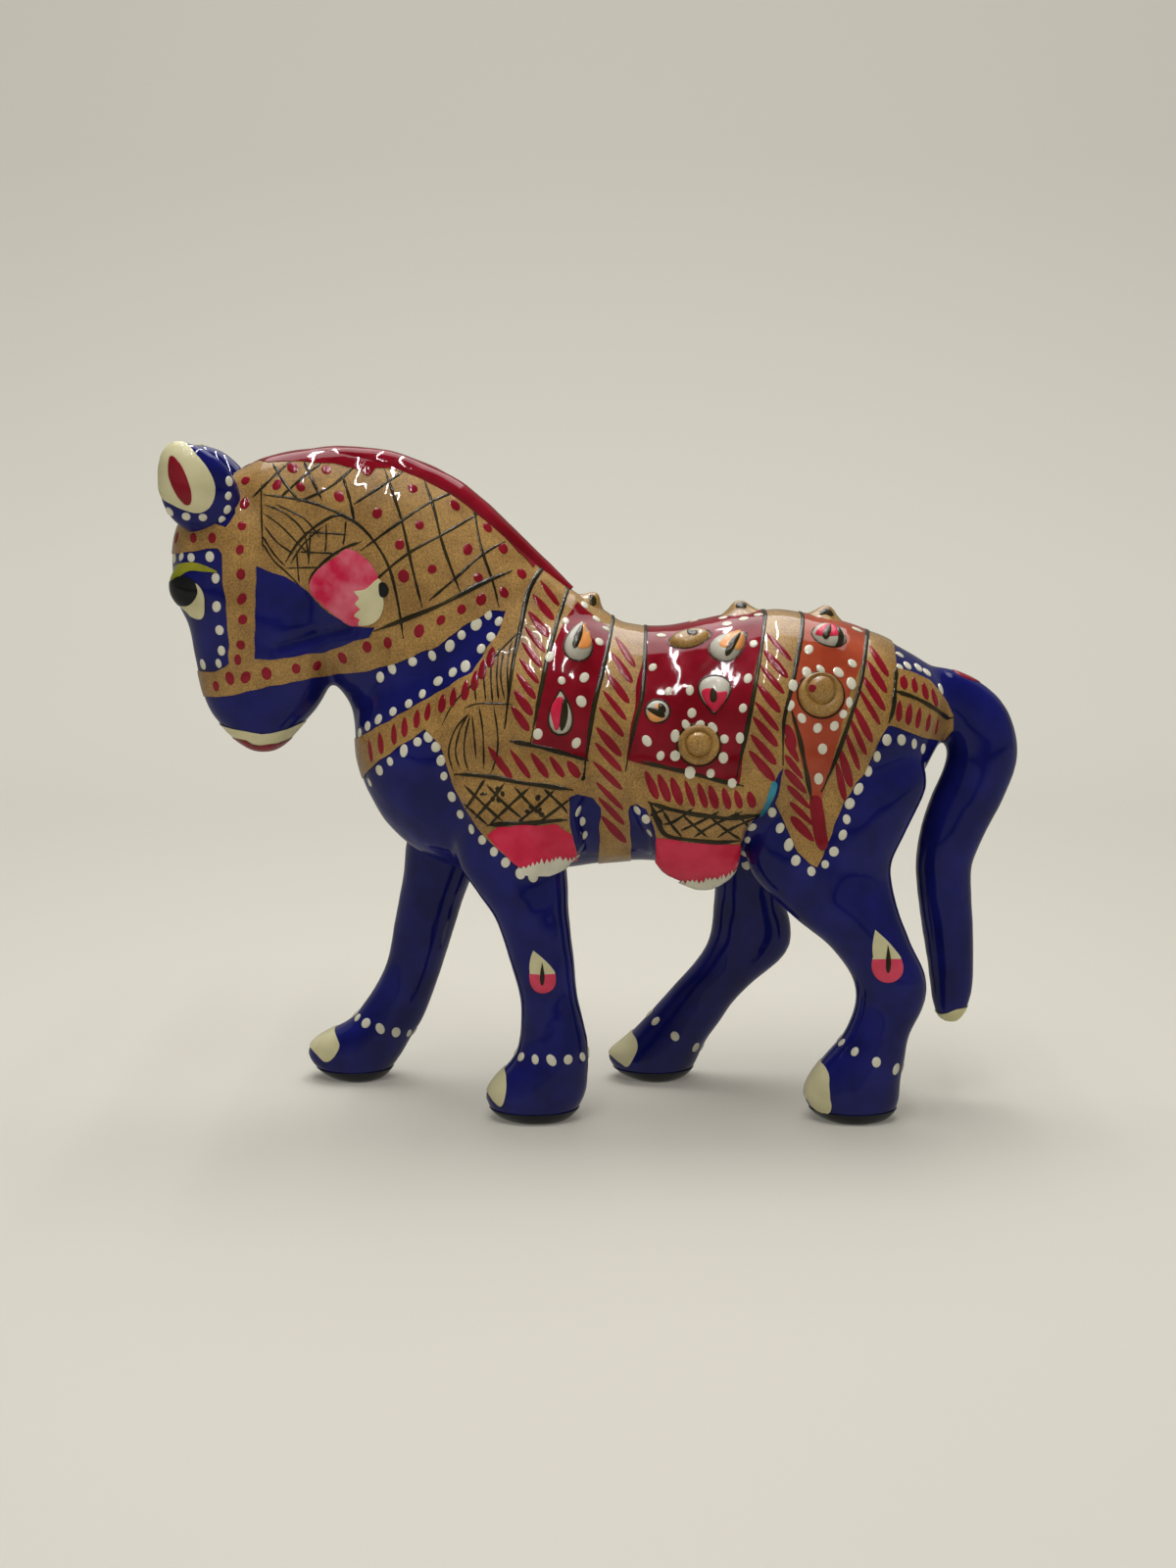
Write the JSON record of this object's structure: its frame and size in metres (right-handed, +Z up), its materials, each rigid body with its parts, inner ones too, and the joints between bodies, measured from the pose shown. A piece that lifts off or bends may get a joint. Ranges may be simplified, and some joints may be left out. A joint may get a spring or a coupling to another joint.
{
  "type": "enamelled horse figurine",
  "caption": "Standing ornament: a walking horse in a festive caparison, cast in light metal, with raised flaps and studs and hand-painted enamel all over.",
  "frame": {"origin": "on the ground, below the middle of the figurine's box", "axes": "+X from the horse's head to its tail, +Y to the horse's right, +Z up"},
  "size_m": [0.127, 0.0352, 0.0996],
  "materials": {
    "cobalt_enamel": "glossy cobalt blue enamel over cast metal",
    "gold_paint": "grainy gold bronze paint under clear lacquer",
    "crimson_enamel": "glossy crimson enamel over cast metal",
    "pink_enamel": "glossy pink enamel over cast metal"
  },
  "bodies": {
    "root": {"left_half_shell": "cobalt_enamel", "right_half_shell": "cobalt_enamel", "front_left_leg": "cobalt_enamel", "front_right_leg": "cobalt_enamel", "hind_left_leg": "cobalt_enamel", "hind_right_leg": "cobalt_enamel", "tail": "cobalt_enamel", "left_ear": "cobalt_enamel", "right_ear": "cobalt_enamel", "mane_crest": "crimson_enamel", "left_shoulder_flap": "pink_enamel", "right_shoulder_flap": "pink_enamel", "left_saddle_flap": "pink_enamel", "right_saddle_flap": "pink_enamel", "left_collar_leaf_stud": "gold_paint", "right_collar_leaf_stud": "gold_paint", "left_collar_petal_stud": "pink_enamel", "right_collar_petal_stud": "pink_enamel", "left_saddle_oval_stud": "gold_paint", "right_saddle_oval_stud": "gold_paint", "left_saddle_leaf_stud": "gold_paint", "right_saddle_leaf_stud": "gold_paint", "left_saddle_eye_stud": "gold_paint", "right_saddle_eye_stud": "gold_paint", "left_saddle_petal_stud": "pink_enamel", "right_saddle_petal_stud": "pink_enamel", "left_saddle_round_stud": "gold_paint", "right_saddle_round_stud": "gold_paint", "left_croup_drop_stud": "pink_enamel", "right_croup_drop_stud": "pink_enamel", "left_croup_round_stud": "gold_paint", "right_croup_round_stud": "gold_paint", "withers_back_stud": "gold_paint", "saddle_back_stud": "gold_paint", "croup_back_stud": "gold_paint"}
  },
  "joints": []
}
